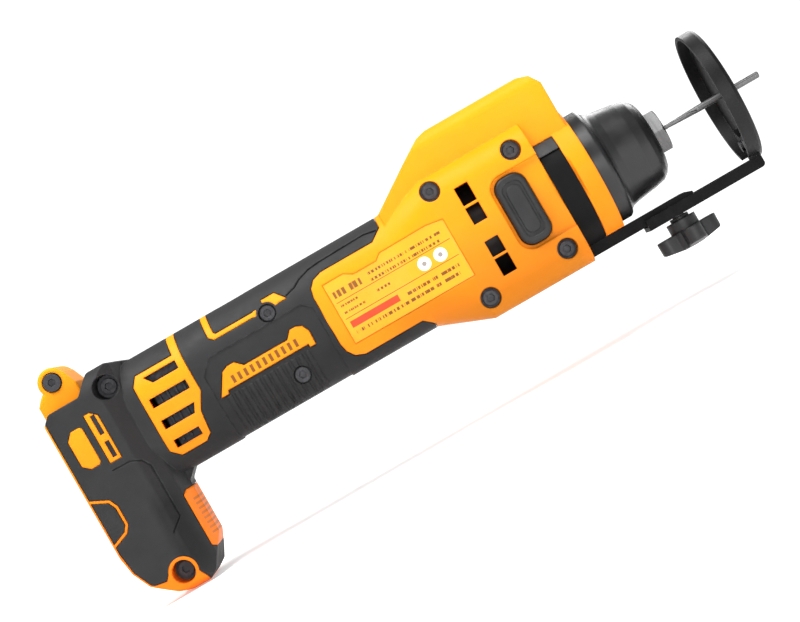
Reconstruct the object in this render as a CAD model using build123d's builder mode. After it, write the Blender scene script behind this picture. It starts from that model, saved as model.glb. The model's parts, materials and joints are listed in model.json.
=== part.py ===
from build123d import *
import os

os.makedirs("parts", exist_ok=True)

# ---------------------------------------------------------------------------
# Frame: millimetres. The spindle runs along +X, towards the bit. +Z is the side
# away from the battery foot. The origin is the spindle axis in the plane of the
# depth guide's working face.
# ---------------------------------------------------------------------------

# driving dimensions of the outer body
SKIN = 1.8                # soft grip thickness
WINDOW_INSERT = (-320.1, 5.75, 3.0, 21.9)  # centre x, z, width, height
SEAM = 0.7                # width of the fine lines sunk into the grip
RIM = 0.7                 # bare housing showing along the foot's rear edge
WALL = 2.4                # moulded housing wall under the grip
FOOT_HALF = 33.0          # half width of the battery foot
FOOT_REAR = -341.0
FOOT_FRONT = -299.0
FOOT_BOTTOM = -73.5
GRIP_WIDTH = 52.0
GRIP_HEIGHT = 57.3
GRIP_CENTRE = 1.85        # height of the grip's centre over the spindle axis
GRIP_CORNER = 20.0
GRIP_REAR = -312.0
GRIP_FRONT = -167.0
RIBS_X = -243.5           # middle of the row of ribs under the thumb
RIB_PITCH = 3.62
HEAD_HALF = 31.0          # half width of the head, and radius of its front ring
HEAD_TOP = 34.5
HEAD_BOTTOM = -36.3
HEAD_CORNER = 13.0
HEAD_REAR = -143.0        # where the head reaches full size
HEAD_STEP = -91.5         # where the box of the head ends in the front ring
HEAD_FRONT = -71.6
CROWN_HALF = 21.5         # half width of the crown along the head's top
CROWN_TOP = 52.8

# spindle line
BIT_R = 1.5875
BIT_TIP = 16.8
SHANK_R = 1.56
NECK_R = 1.05
FLUTE_PITCH = 44.0
FLUTE_LENGTH = 15.0
NUT_AF = 19.5
NUT_FRONT = -33.7
NOSE_FRONT = -39.6
LOCK_X = -108.6           # spindle lock button and its collar
FRONT_BEARING = (-66.0, 8.0, 14.0, 6.0)    # rear face x, width, outer r, bore r
REAR_BEARING = (-212.0, 7.0, 11.0, 4.0)
STATOR = (-196.0, 34.0, 21.0, 12.0)        # rear face x, length, outer r, bore r
ROTOR_R = 11.4
FAN_X = -134.0
FAN_R = 21.0

# depth guide
GUIDE_R = 33.0
GUIDE_DEPTH = 7.6
GUIDE_HOLE = 5.5
KNOB_X = -47.2
ARM_SLOT = 6.6

# screws that join the housing halves: x, z, y of the seat, recess and head radius,
# and the thickness of the soft grip that lines the recess
SCREWS = [
    (-330.0, 38.2, -16.8, 4.6, 4.1, 0.0),
    (-309.2, 24.2, -12.0, 5.6, 3.6, 0.9),
    (-319.4, -64.1, -17.0, 5.3, 3.6, 0.0),
    (-230.5, 16.8, -19.5, 4.1, 3.4, 0.9),
    (-230.5, -14.9, -19.5, 4.1, 3.4, 0.9),
    (-140.7, 27.4, -22.5, 4.75, 3.4, 0.0),
    (-100.3, 25.5, -22.5, 4.75, 3.4, 0.0),
    (-140.7, -27.1, -22.5, 4.75, 3.4, 0.0),
    (-100.3, -25.1, -22.5, 4.75, 3.4, 0.0),
]
SCREW_R = 1.9
FLANGE = 0.8              # the flange under the screw's head
HEAD_HEIGHT = 2.2
BOSS_R = 4.4

FOOT_SIDE = [
    (FOOT_REAR, 22.0), (FOOT_REAR, -45.0), (-339.6, -54.0), (-335.6, -62.6),
    (-326.0, -70.8), (-320.0, FOOT_BOTTOM), (-311.5, FOOT_BOTTOM), (-306.8, -70.4),
    (FOOT_FRONT, -57.0),
    (FOOT_FRONT, -31.0), (-293.5, -25.5), (-293.5, 29.0), (-297.0, 30.8), (-305.5, 34.2),
    (-314.0, 34.2), (-321.5, 26.0), (-337.0, 26.0),
]
FOOT_PLAN = [
    (FOOT_REAR, -FOOT_HALF), (-313.0, -FOOT_HALF), (-303.5, -24.0), (-299.2, -11.0),
    (-293.0, -9.0), (-293.0, 9.0), (-299.2, 11.0), (-303.5, 24.0), (-313.0, FOOT_HALF),
    (FOOT_REAR, FOOT_HALF),
]
CROWN_SIDE = [
    (-165.5, 10.0), (-165.5, 30.3), (-143.7, 45.0), (-134.0, 51.2), (-128.5, CROWN_TOP),
    (-82.0, CROWN_TOP), (-76.4, 50.6), (-73.0, 45.2), (-73.0, 10.0),
]


def envelope(inset):
    """The whole outer body, pulled in all over by the given distance."""
    with BuildPart() as body:
        with BuildSketch(Plane.XZ) as side:
            with BuildLine():
                Polyline(*FOOT_SIDE, close=True)
            make_face()
            fillet(side.vertices(), 2.0)
            offset(amount=-inset)
        extrude(amount=FOOT_HALF + 5, both=True)
        with BuildSketch(Plane.XY.offset(-90)) as plan:
            with BuildLine():
                Polyline(*FOOT_PLAN, close=True)
            make_face()
            fillet(plan.vertices().filter_by(lambda v: -320 < v.X < -301), 3.0)
            offset(amount=-inset)
        extrude(amount=180, mode=Mode.INTERSECT)
        with BuildSketch(Plane.YZ.offset(FOOT_REAR - 5)):
            with Locations((0, (34.2 + FOOT_BOTTOM) / 2)):
                RectangleRounded(
                    2 * (FOOT_HALF - inset), 34.2 - FOOT_BOTTOM - 2 * inset, 11 - inset
                )
        extrude(amount=60, mode=Mode.INTERSECT)
        with BuildSketch(Plane.YZ.offset(GRIP_REAR + inset)):
            with Locations((0, GRIP_CENTRE)):
                RectangleRounded(
                    GRIP_WIDTH - 2 * inset, GRIP_HEIGHT - 2 * inset, GRIP_CORNER - inset
                )
        extrude(amount=GRIP_FRONT - GRIP_REAR)
    with BuildPart() as head:
        with BuildSketch(Plane.YZ.offset(GRIP_FRONT - 0.01)):
            with Locations((0, GRIP_CENTRE)):
                RectangleRounded(
                    GRIP_WIDTH - 2 * inset, GRIP_HEIGHT - 2 * inset, GRIP_CORNER - inset
                )
        with BuildSketch(Plane.YZ.offset(HEAD_REAR)):
            with Locations((0, (HEAD_TOP + HEAD_BOTTOM) / 2)):
                RectangleRounded(
                    2 * (HEAD_HALF - inset),
                    HEAD_TOP - HEAD_BOTTOM - 2 * inset,
                    HEAD_CORNER - inset,
                )
        loft()
        with BuildSketch(Plane.YZ.offset(HEAD_REAR)):
            with Locations((0, (HEAD_TOP + HEAD_BOTTOM) / 2)):
                RectangleRounded(
                    2 * (HEAD_HALF - inset),
                    HEAD_TOP - HEAD_BOTTOM - 2 * inset,
                    HEAD_CORNER - inset,
                )
        extrude(amount=HEAD_STEP - HEAD_REAR - inset)
        with BuildSketch(Plane.YZ.offset(HEAD_STEP - 5)):
            Circle(HEAD_HALF - inset)
        extrude(amount=HEAD_FRONT - HEAD_STEP + 5 - inset)
    with BuildPart() as crown:
        with BuildSketch(Plane.XZ):
            with BuildLine():
                Polyline(*CROWN_SIDE, close=True)
            make_face()
            offset(amount=-inset)
        extrude(amount=CROWN_HALF - inset, both=True)
        with BuildSketch(Plane.YZ.offset(GRIP_FRONT - 5)):
            with Locations((0, 0)):
                RectangleRounded(
                    2 * (CROWN_HALF - inset), 2 * (CROWN_TOP - inset), 7 - inset
                )
        extrude(amount=110, mode=Mode.INTERSECT)
    with BuildPart() as whole:
        add(body.part)
        add(head.part)
        add(crown.part)
    return whole.part


# ---------------------------------------------------------------------------
# Where the moulded housing shows through the soft grip, in side view
# ---------------------------------------------------------------------------
HEAD_REGION = [
    (-209.0, -11.5), (-208.2, -15.6), (-205.8, -19.0), (-201.5, -20.8), (-172.0, -20.8),
    (-167.5, -24.8), (-166.2, -90.0), (-60.0, -90.0),
    (-60.0, 90.0), (-166.2, 90.0), (-168.0, 25.0), (-174.0, 20.7),
    (-200.8, 20.7), (-205.4, 19.2), (-208.1, 16.2), (-209.0, 12.0),
]
GRILLE = [
    (-298.9, 17.5), (-296.0, 21.8), (-277.0, 21.8), (-276.4, 40.0), (-272.4, 40.0),
    (-273.4, 19.3), (-273.4, 1.8), (-277.8, -6.0), (-279.2, -16.5), (-282.5, -19.0),
    (-295.0, -19.0), (-298.9, -15.0),
]
GRILLE_SLOTS = [
    [(-293.2, 19.4), (-290.2, 15.4), (-276.9, 15.4), (-276.9, 19.4)],
    [(-295.6, 9.6), (-295.6, 5.2), (-276.9, 5.2), (-276.9, 9.6)],
    [(-295.6, -1.2), (-295.6, -5.6), (-280.6, -5.6), (-278.4, -1.2)],
    [(-295.2, -11.5), (-295.2, -15.3), (-282.2, -15.3), (-282.2, -11.5)],
]
TRIM_CORNER = [
    (-259.0, 40.0), (-259.0, 20.4), (-257.0, 18.4), (-234.6, 18.4), (-234.6, 20.3),
    (-255.2, 20.3), (-256.1, 21.2), (-256.1, 40.0),
]
TRIM_ARROW = [(-230.0, 23.2), (-223.7, 23.2), (-219.8, 18.4), (-230.0, 18.4)]
BADGE = [
    (-266.8, -5.8), (-263.3, -5.8), (-262.7, -4.2), (-221.3, -4.2), (-221.3, -5.8),
    (-218.6, -5.8), (-218.3, 0.7), (-220.0, 4.0), (-222.7, 5.2), (-225.6, 5.2),
    (-228.6, 1.8), (-251.0, 1.8), (-254.4, 5.2), (-257.9, 5.2), (-260.8, 3.9),
]
SIDE_PAD = [
    (-335.2, -1.5), (-335.2, 10.8), (-332.0, 14.3), (-327.8, 14.3), (-326.8, 13.2),
    (-326.8, -3.2), (-327.8, -4.3), (-332.0, -4.3),
]
WINDOW_FRAME = [
    (-323.4, -6.2), (-323.4, 17.7), (-320.8, 17.7), (-317.8, 15.0), (-317.8, -6.2),
]
FRONT_BADGE = [
    (-303.5, -60.4), (-303.5, -35.0), (-301.9, -33.4), (-290.0, -33.4), (-290.0, -62.0),
    (-301.9, -62.0),
]
BOTTOM_LUG = [
    (-337.5, -62.6), (-328.0, -64.4), (-325.3, -61.5), (-313.4, -66.8), (-311.5, -71.0),
    (-310.5, -90.0), (-345.0, -90.0), (-345.0, -62.6),
]
RING_CENTRE = (-319.4, -64.1)
CREST_LINE = [
    (-346.0, -14.0), (-341.0, -16.6), (-332.6, -20.7), (-330.8, -24.6),
    (-330.8, -33.4), (-333.0, -36.4), (-341.0, -39.6), (-346.0, -41.7),
]
GRIP_ZONE = [
    (-269.0, -27.0), (-269.0, 6.0), (-263.0, 12.6), (-216.0, 12.6), (-211.6, 9.0),
    (-211.6, -27.0),
]
TOP_SEAM = [
    (-219.4, 19.3), (-214.3, 20.7), (-210.6, 22.9), (-205.2, 24.6), (-199.3, 25.2),
    (-176.1, 25.8), (-170.0, 24.6),
]
REAR_RIM = [(FOOT_REAR, -44.0), (-339.6, -54.0), (-335.6, -62.6), (-326.0, -70.8)]
PANEL_LINE = [
    (-324.4, -9.6), (-315.5, -9.8), (-311.0, -12.0), (-308.9, -16.0), (-308.9, -42.0),
    (-314.7, -47.0),
]
LABEL = [
    (-203.2, -14.9), (-203.2, 15.2), (-192.5, 15.2), (-188.5, 12.8), (-176.8, 12.8),
    (-173.8, 15.2), (-150.0, 15.4), (-141.8, 14.0), (-141.8, -14.9),
]


def profile(points, grow=0.0):
    """A closed flat profile in side view, extruded right through the body."""
    with BuildPart() as prism:
        with BuildSketch(Plane.XZ):
            with BuildLine():
                Polyline(*points, close=True)
            make_face()
            if grow:
                offset(amount=grow)
        extrude(amount=70, both=True)
    return prism.part


def stripe(points, width):
    """A line of even width in side view, extruded right through the body."""
    with BuildPart() as prism:
        with BuildSketch(Plane.XZ):
            with BuildLine() as path:
                Polyline(*points)
            trace(path.line, line_width=width)
        extrude(amount=70, both=True)
    return prism.part


def disc_y(x, z, radius, low, high):
    """A cylinder across the body, from y = low to y = high."""
    with BuildPart() as rod:
        with BuildSketch(Plane.XZ.offset(-high)):
            with Locations((x, z)):
                Circle(radius)
        extrude(amount=high - low)
    return rod.part


def yellow_region(grow):
    """Everything that shows as bare housing, grown by the width of the seam."""
    with BuildPart() as region:
        add(profile(HEAD_REGION, grow=grow))
        add(profile(GRILLE, grow=grow))
        add(profile(TRIM_CORNER, grow=grow))
        add(profile(TRIM_ARROW, grow=grow))
        add(profile(BADGE, grow=grow))
        add(profile(SIDE_PAD, grow=grow))
        add(profile(WINDOW_FRAME, grow=grow))
        add(profile(FRONT_BADGE, grow=grow))
        add(profile(BOTTOM_LUG, grow=grow))
        add(disc_y(RING_CENTRE[0], RING_CENTRE[1], 6.6 + grow, -70, 70))
        add(stripe(CREST_LINE, 1.1 + 2 * grow))
        add(stripe(REAR_RIM, 2 * RIM + 2 * grow))
        with BuildSketch(Plane.YZ.offset(FOOT_REAR - 1)):
            Rectangle(100, 200)
        extrude(amount=1 + RIM + grow)
    return region.part


OUTER = envelope(0)
SHALLOW = envelope(0.6)
CORE = envelope(SKIN)
CAVITY = envelope(SKIN + WALL)


def label_volume(top, grow):
    """The rating label's place on the right side, down from the given inset."""
    with BuildPart() as label:
        add(top)
        add(profile(LABEL, grow=grow), mode=Mode.INTERSECT)
        add(SHALLOW, mode=Mode.SUBTRACT)
        split(bisect_by=Plane.XZ.offset(10), keep=Keep.TOP)
    return label.part


def top_lug():
    """The stop at the top of the foot, with the boss of its screw."""
    with BuildPart() as lug:
        with BuildSketch(Plane.XZ):
            with BuildLine():
                Polyline(
                    (-340.9, 21.0), (-340.9, 31.0), (-338.4, 33.9), (-336.6, 35.5),
                    (-323.4, 40.5), (-320.4, 33.5), (-320.4, 21.0), close=True,
                )
            make_face()
            with Locations((SCREWS[0][0], SCREWS[0][1])):
                Circle(6.7)
        extrude(amount=19, both=True)
        fillet(lug.faces().filter_by(Plane.XZ).edges(), 1.2)
    return lug.part


def housing():
    """Both halves of the moulded housing, before they are split."""
    with BuildPart() as shell:
        add(OUTER)
        add(yellow_region(0), mode=Mode.INTERSECT)
        add(CORE)
        add(top_lug())
        add(CAVITY, mode=Mode.SUBTRACT)
        # walls round the battery bay
        with BuildSketch(Plane.XY.offset(FOOT_BOTTOM + 2)):
            with Locations(((FOOT_REAR - 325.5) / 2 + 0.4, 0)):
                Rectangle(-325.5 - FOOT_REAR - 0.8, 61)
        extrude(amount=96)
        # ribs that carry the motor, the rear bearing and the nose's barrel
        for x, radius in ((-194.0, 21.05), (-164.0, 21.05), (-210.5, 12.55)):
            with BuildSketch(Plane.YZ.offset(x)):
                Circle(26.0)
                Circle(radius, mode=Mode.SUBTRACT)
            extrude(amount=2.4)
        with BuildSketch(Plane.YZ.offset(-122.3)):
            with Locations((0, (HEAD_TOP + HEAD_BOTTOM) / 2)):
                Rectangle(59.0, 67.0)
            Circle(19.05, mode=Mode.SUBTRACT)
        extrude(amount=2.4)
        # gate for the motor's leads in the rear bearing's rib
        with BuildSketch(Plane.YZ.offset(-210.6)):
            with Locations((0, 16.0)):
                Rectangle(26.0, 6.0)
        extrude(amount=2.6, mode=Mode.SUBTRACT)
        # screw columns
        for x, z, seat, recess, _, lining in SCREWS:
            with BuildSketch(Plane.XZ.offset(-34)):
                with Locations((x, z)):
                    Circle(BOSS_R)
            extrude(amount=34 - seat)
            with BuildSketch(Plane.XZ.offset(-seat - 1.8)):
                with Locations((x, z)):
                    Circle(recess + lining + 1.5)
            extrude(amount=36 + seat)
    with BuildPart() as trimmed:
        add(OUTER)
        add(top_lug())
        add(shell.part, mode=Mode.INTERSECT)
        add(grip_volume(), mode=Mode.SUBTRACT)
        add(label_volume(OUTER, 0), mode=Mode.SUBTRACT)
        for x, z, seat, recess, _, lining in SCREWS:
            add(disc_y(x, z, recess + lining, -45, seat), mode=Mode.SUBTRACT)
            add(disc_y(x, z, SCREW_R + 0.03, seat - 1, 13), mode=Mode.SUBTRACT)
        # nose seat, yoke groove and the flat that the guide's arm runs along
        with BuildSketch(Plane.YZ.offset(-92.0)):
            Circle(24.05)
        extrude(amount=25, mode=Mode.SUBTRACT)
        with BuildSketch(Plane.YZ.offset(HEAD_STEP)):
            with Locations((0, 21.9 - 40)):
                Rectangle(90, 80)
            Circle(28.7, mode=Mode.SUBTRACT)
        extrude(amount=10.7, mode=Mode.SUBTRACT)
        with BuildSketch(Plane.YZ.offset(HEAD_STEP)):
            with Locations((0, -39.3)):
                Rectangle(24, 20)
        extrude(amount=30, mode=Mode.SUBTRACT)
        # battery bay with its two rails
        with BuildSketch(Plane.XY.offset(-95)):
            with Locations((FOOT_REAR + 1, 0)):
                Rectangle(8, 44)
            with Locations((-333.0, 0)):
                Rectangle(10, 54)
        extrude(amount=115, mode=Mode.SUBTRACT)
        with BuildSketch(Plane.YZ.offset(-330)):
            with Locations((0, 4)):
                Rectangle(28.2, 20.2)
        extrude(amount=8, mode=Mode.SUBTRACT)
        # air slots
        for points in GRILLE_SLOTS:
            add(profile(points), mode=Mode.SUBTRACT)
        for low, high in ((14.0, 23.0), (4.5, 12.8), (-12.0, -4.2), (-21.7, -13.2)):
            add(
                profile([(-131, low), (-131, high), (-124.2, high), (-124.2, low)]),
                mode=Mode.SUBTRACT,
            )
        # windows in the framed pair on each side of the foot
        for low, high in ((6.6, 16.2), (-4.7, 3.2)):
            for plane in (Plane.XZ.offset(31.4), Plane.XZ.offset(-36)):
                with BuildSketch(plane):
                    with Locations((-320.1, (low + high) / 2)):
                        Rectangle(2.2, high - low)
                extrude(amount=4.6, mode=Mode.SUBTRACT)
        for side in (-1, 1):
            with BuildSketch(Plane.XZ.offset(side * 30.4)):
                with Locations(WINDOW_INSERT[:2]):
                    Rectangle(*WINDOW_INSERT[2:])
            extrude(amount=1.0, both=True, mode=Mode.SUBTRACT)
        # spindle lock opening and the dished field round it
        with BuildSketch(Plane.XZ.offset(20)):
            with Locations((LOCK_X, 0)):
                RectangleRounded(15.6, 33.4, 6.0)
        extrude(amount=20, mode=Mode.SUBTRACT)
        with BuildSketch(Plane.XZ.offset(HEAD_HALF - 1.8)):
            with Locations((-98.8, 0)):
                RectangleRounded(38.0, 36.4, 6.5)
        extrude(amount=5, mode=Mode.SUBTRACT)
        # power button and lamp openings
        with BuildSketch(Plane.XY.offset(20)):
            with Locations((-243.0, 0)):
                RectangleRounded(16.6, 16.6, 3.0)
        extrude(amount=20, mode=Mode.SUBTRACT)
        with BuildSketch(Plane.YZ.offset(-80)):
            with Locations((0, 42.5)):
                Circle(4.0)
        extrude(amount=20, mode=Mode.SUBTRACT)
        with BuildSketch(Plane.YZ.offset(-84)):
            with Locations((0, 42.5)):
                Rectangle(12.1, 10.1)
        extrude(amount=5.7, mode=Mode.SUBTRACT)
    return trimmed.part


def grip_volume():
    """The soft grip over both halves, filling the housing's sunken areas."""
    with BuildPart() as grip:
        add(OUTER)
        add(CORE, mode=Mode.SUBTRACT)
        add(yellow_region(0.3), mode=Mode.SUBTRACT)
    return grip.part


def screw_linings():
    """Sleeves of soft grip in the recesses of the screws that the grip surrounds."""
    with BuildPart() as sleeves:
        for x, z, seat, recess, _, lining in SCREWS:
            if lining:
                add(disc_y(x, z, recess + lining, -45, seat))
        add(OUTER, mode=Mode.INTERSECT)
    return sleeves.part


def hand_zone():
    """The outline of the dished hand zone, less the upright ribs left standing in it."""
    with BuildPart() as zone:
        add(profile(GRIP_ZONE))
        with BuildSketch(Plane.XZ):
            with Locations((RIBS_X, -16.2)):
                with GridLocations(RIB_PITCH, 1, 12, 1):
                    Rectangle(2.0, 19.1)
        extrude(amount=70, both=True, mode=Mode.SUBTRACT)
    return zone.part


def seams():
    """The fine lines sunk into the grip: round the foot's panel and along the top pad."""
    with BuildPart() as pair:
        add(stripe(PANEL_LINE, SEAM))
        add(stripe(TOP_SEAM, SEAM))
    return pair.part


def grip():
    """The grip with its dished hand zone, ribs, panel lines and openings."""
    with BuildPart() as dish:
        add(OUTER)
        add(SHALLOW, mode=Mode.SUBTRACT)
        add(hand_zone(), mode=Mode.INTERSECT)
    with BuildPart() as lines:
        add(OUTER)
        add(SHALLOW, mode=Mode.SUBTRACT)
        add(seams(), mode=Mode.INTERSECT)
    with BuildPart() as skin:
        add(grip_volume())
        add(screw_linings())
        add(dish.part, mode=Mode.SUBTRACT)
        add(lines.part, mode=Mode.SUBTRACT)
        for x, z, seat, recess, *_ in SCREWS:
            add(disc_y(x, z, recess, -45, 0), mode=Mode.SUBTRACT)
        with BuildSketch(Plane.XY.offset(20)):
            with Locations((-243.0, 0)):
                RectangleRounded(16.6, 16.6, 3.0)
        extrude(amount=20, mode=Mode.SUBTRACT)
        with BuildSketch(Plane.XY.offset(-95)):
            with Locations((FOOT_REAR + 1, 0)):
                Rectangle(26, 54)
        extrude(amount=115, mode=Mode.SUBTRACT)
    return skin.part


def save(builder, label):
    """Name a finished piece and write it to its own file."""
    builder.part.label = label
    export_step(builder.part, f"parts/{label}.step")


def turned(points):
    """A piece turned round the spindle axis; points are (x, radius)."""
    with BuildPart() as piece:
        with BuildSketch(Plane.XZ):
            with BuildLine():
                Polyline(*points, close=True)
            make_face()
        revolve(axis=Axis.X)
    return piece.part


def rod(x, length, radius):
    """A plain cylinder on the spindle axis, from x onwards."""
    with BuildPart() as cylinder:
        with BuildSketch(Plane.YZ.offset(x)):
            Circle(radius)
        extrude(amount=length)
    return cylinder.part


def tube(x, length, outer, inner):
    """A plain ring round the spindle axis, from x onwards."""
    with BuildPart() as ring:
        with BuildSketch(Plane.YZ.offset(x)):
            Circle(outer)
            Circle(inner, mode=Mode.SUBTRACT)
        extrude(amount=length)
    return ring.part


# ---------------------------------------------------------------------------
# Housing halves and grips
# ---------------------------------------------------------------------------
HOUSING = housing()
GRIP = grip()

with BuildPart() as housing_right:
    add(HOUSING)
    split(bisect_by=Plane.XZ, keep=Keep.TOP)
save(housing_right, "housing_right")

with BuildPart() as housing_left:
    add(HOUSING)
    split(bisect_by=Plane.XZ, keep=Keep.BOTTOM)
save(housing_left, "housing_left")

with BuildPart() as grip_right:
    add(GRIP)
    split(bisect_by=Plane.XZ, keep=Keep.TOP)
save(grip_right, "grip_right")

with BuildPart() as grip_left:
    add(GRIP)
    split(bisect_by=Plane.XZ, keep=Keep.BOTTOM)
save(grip_left, "grip_left")

with BuildPart() as window_inserts:
    for side in (-1, 1):
        with BuildSketch(Plane.XZ.offset(side * 30.4)):
            with Locations(WINDOW_INSERT[:2]):
                Rectangle(*WINDOW_INSERT[2:])
        extrude(amount=1.0, both=True)
save(window_inserts, "window_inserts")

with BuildPart() as rating_label:
    add(label_volume(envelope(0.25), -0.3))
save(rating_label, "rating_label")

with BuildPart() as housing_screws:
    for x, z, seat, recess, head, _ in SCREWS:
        with BuildSketch(Plane.XZ.offset(-seat)):
            with Locations((x, z)):
                Circle(recess - 0.3)
        extrude(amount=FLANGE)
        with BuildSketch(Plane.XZ.offset(-seat + FLANGE)):
            with Locations((x, z)):
                Circle(head)
                RegularPolygon(1.9, 6, mode=Mode.SUBTRACT)
        extrude(amount=HEAD_HEIGHT)
        with BuildSketch(Plane.XZ.offset(-12)):
            with Locations((x, z)):
                Circle(SCREW_R)
        extrude(amount=12 - seat)
save(housing_screws, "housing_screws")

# ---------------------------------------------------------------------------
# Nose, bearings and motor
# ---------------------------------------------------------------------------
with BuildPart() as nose_cone:
    add(
        turned([
            (-122.5, 14.03), (-122.5, 19.0), (-90.5, 19.0), (-88.0, 24.0),
            (HEAD_FRONT + 0.05, 24.0), (HEAD_FRONT + 0.05, 27.3), (-65.6, 27.3),
            (-64.4, 26.5), (-63.5, 24.7), (-62.3, 23.8), (-58.7, 22.9), (-48.7, 21.5),
            (-44.2, 20.4), (-41.8, 18.6), (-40.3, 16.6), (NOSE_FRONT, 14.4),
            (NOSE_FRONT, 12.4), (-55.0, 12.4), (-55.0, 11.0), (-57.95, 11.0),
            (-57.95, 14.03),
        ])
    )
    with BuildSketch(Plane.XZ.offset(10)):
        with Locations((LOCK_X, 0)):
            Circle(2.56)
    extrude(amount=12, mode=Mode.SUBTRACT)
save(nose_cone, "nose_cone")


def bearing(x, width, outer, bore, count, name):
    """A deep-groove ball bearing as two races and a ring of balls."""
    pitch = (outer + bore) / 2
    ball = (outer - bore) * 0.29
    with BuildPart() as outer_race:
        add(tube(x, width, outer, pitch + ball * 0.55))
        with BuildSketch(Plane.XZ):
            with Locations((x + width / 2, pitch)):
                Circle(ball + 0.04)
        revolve(axis=Axis.X, mode=Mode.SUBTRACT)
    save(outer_race, f"{name}_outer_race")
    with BuildPart() as inner_race:
        add(tube(x, width, pitch - ball * 0.55, bore))
        with BuildSketch(Plane.XZ):
            with Locations((x + width / 2, pitch)):
                Circle(ball + 0.04)
        revolve(axis=Axis.X, mode=Mode.SUBTRACT)
    save(inner_race, f"{name}_inner_race")
    with BuildPart() as balls:
        with Locations(Plane.YZ.offset(x + width / 2)):
            with PolarLocations(pitch, count):
                Sphere(ball)
    save(balls, f"{name}_balls")


bearing(*FRONT_BEARING, 9, "front_bearing")
bearing(*REAR_BEARING, 7, "rear_bearing")

with BuildPart() as bearing_boot:
    add(tube(REAR_BEARING[0] - 1.2, 6.6, 12.5, 11.02))
    add(tube(REAR_BEARING[0] - 1.2, 1.15, 12.5, 9.0))
save(bearing_boot, "bearing_boot")

STATOR_X, STATOR_LENGTH, STATOR_R, STATOR_BORE = STATOR
TEETH = 6

with BuildPart() as stator_core:
    add(tube(STATOR_X, STATOR_LENGTH, STATOR_R, 17.0))
    with BuildSketch(Plane.YZ.offset(STATOR_X)):
        with PolarLocations(15.3, TEETH):
            Rectangle(5.6, 6.0)
        with PolarLocations(12.9, TEETH):
            Rectangle(1.8, 10.4)
        Circle(STATOR_BORE, mode=Mode.SUBTRACT)
    extrude(amount=STATOR_LENGTH)
save(stator_core, "stator_core")

with BuildPart() as stator_coils:
    with BuildSketch(Plane.YZ.offset(STATOR_X - 3.5)):
        with PolarLocations(15.35, TEETH):
            Rectangle(2.7, 11.5)
        Circle(16.95, mode=Mode.INTERSECT)
    extrude(amount=STATOR_LENGTH + 7)
    with BuildSketch(Plane.YZ.offset(STATOR_X - 0.1)):
        with PolarLocations(15.3, TEETH):
            Rectangle(6.0, 6.1)
    extrude(amount=STATOR_LENGTH + 0.2, mode=Mode.SUBTRACT)
save(stator_coils, "stator_coils")

with BuildPart() as fan_shroud:
    add(tube(-132.6, 10.3, 23.4, 21.6))
save(fan_shroud, "fan_shroud")

with BuildPart() as rotor_core:
    add(tube(STATOR_X, STATOR_LENGTH, 9.0, 5.5))
save(rotor_core, "rotor_core")

with BuildPart() as rotor_magnets:
    with BuildSketch(Plane.YZ.offset(STATOR_X)):
        Circle(ROTOR_R)
        Circle(9.02, mode=Mode.SUBTRACT)
        with PolarLocations(10.0, 4, start_angle=45):
            Rectangle(8.0, 1.2, mode=Mode.SUBTRACT)
    extrude(amount=STATOR_LENGTH)
save(rotor_magnets, "rotor_magnets")

with BuildPart() as fan:
    add(tube(FAN_X, 10.0, 8.0, 5.0))
    add(tube(FAN_X, 1.2, FAN_R, 7.0))
    with BuildSketch(Plane.YZ.offset(FAN_X + 1.0)):
        with PolarLocations(14.3, 11):
            Rectangle(13.0, 1.1, rotation=18)
        Circle(5.5, mode=Mode.SUBTRACT)
    extrude(amount=8.0)
save(fan, "fan")

# ---------------------------------------------------------------------------
# Spindle, collet, nut and bit
# ---------------------------------------------------------------------------
with BuildPart() as spindle:
    add(
        turned([
            (-213.0, 0.0), (-213.0, 3.99), (-204.6, 3.99), (-204.6, 5.2), (-198.0, 5.2),
            (-198.0, 5.49), (-160.0, 5.49), (-160.0, 4.99), (-120.4, 4.99),
            (-120.4, 6.5), (-114.6, 6.5), (-114.6, 10.0), (-102.6, 10.0), (-102.6, 7.2),
            (-66.05, 7.2), (-66.05, 5.99), (-38.2, 5.99), (-38.2, 4.4), (-54.0, 3.3),
            (-54.0, 1.9), (-66.0, 1.9), (-66.0, 0.0),
        ])
    )
    with BuildSketch(Plane.XZ.offset(6.9)):
        with Locations((LOCK_X, 0)):
            Circle(2.75)
    extrude(amount=5, mode=Mode.SUBTRACT)
    with BuildSketch(Plane.XZ.offset(-11.9)):
        with Locations((LOCK_X, 0)):
            Circle(2.75)
    extrude(amount=5, mode=Mode.SUBTRACT)
    with BuildSketch(Plane.XY.offset(6.9)):
        with Locations((LOCK_X, 0)):
            Circle(2.75)
    extrude(amount=5, mode=Mode.SUBTRACT)
    with BuildSketch(Plane.XY.offset(-11.9)):
        with Locations((LOCK_X, 0)):
            Circle(2.75)
    extrude(amount=5, mode=Mode.SUBTRACT)
save(spindle, "spindle")

with BuildPart() as collet:
    add(
        turned([
            (-53.5, BIT_R + 0.02), (-53.5, 3.25), (-38.2, 4.33), (-36.6, 4.33),
            (-35.6, 3.6), (-35.6, BIT_R + 0.02),
        ])
    )
    with BuildSketch(Plane.YZ.offset(-49.5)):
        Rectangle(9, 0.7)
        Rectangle(0.7, 9)
    extrude(amount=15, mode=Mode.SUBTRACT)
save(collet, "collet")

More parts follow.
